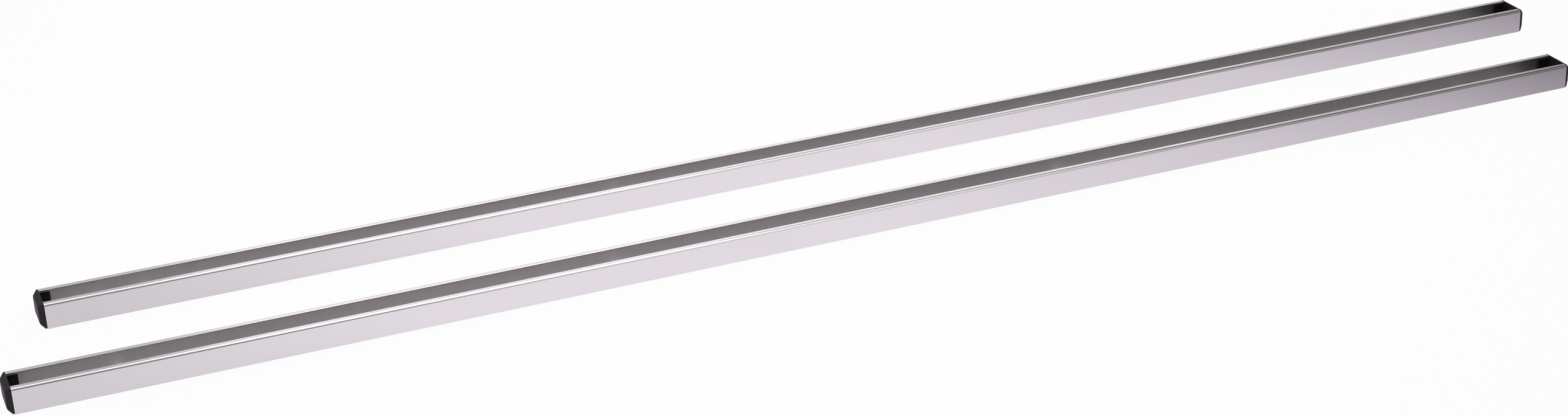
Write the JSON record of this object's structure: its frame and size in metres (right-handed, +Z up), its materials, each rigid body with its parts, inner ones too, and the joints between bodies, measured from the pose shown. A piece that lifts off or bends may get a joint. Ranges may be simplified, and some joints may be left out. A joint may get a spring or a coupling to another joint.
{
  "type": "pair of roof tent mounting rails",
  "caption": "Straight aluminium C-channel rails with a slot along the top, a drilled web and bevelled plastic end caps, laid side by side, for fixing a roof tent to roof bars.",
  "frame": {"origin": "middle of the pair, on the surface that the rails lie on", "axes": "+X along the rails, +Y from the front rail to the rear rail, +Z up out of the slots"},
  "size_m": [1.9906, 0.23, 0.03],
  "materials": {
    "rail_aluminium": "satin anodised, with fine lines along the extrusion",
    "cap_plastic": "moulded black, finely textured"
  },
  "bodies": {
    "root": {"front_rail": "rail_aluminium", "rear_rail": "rail_aluminium", "front_rail_left_cap": "cap_plastic", "front_rail_right_cap": "cap_plastic", "rear_rail_left_cap": "cap_plastic", "rear_rail_right_cap": "cap_plastic"}
  },
  "joints": []
}
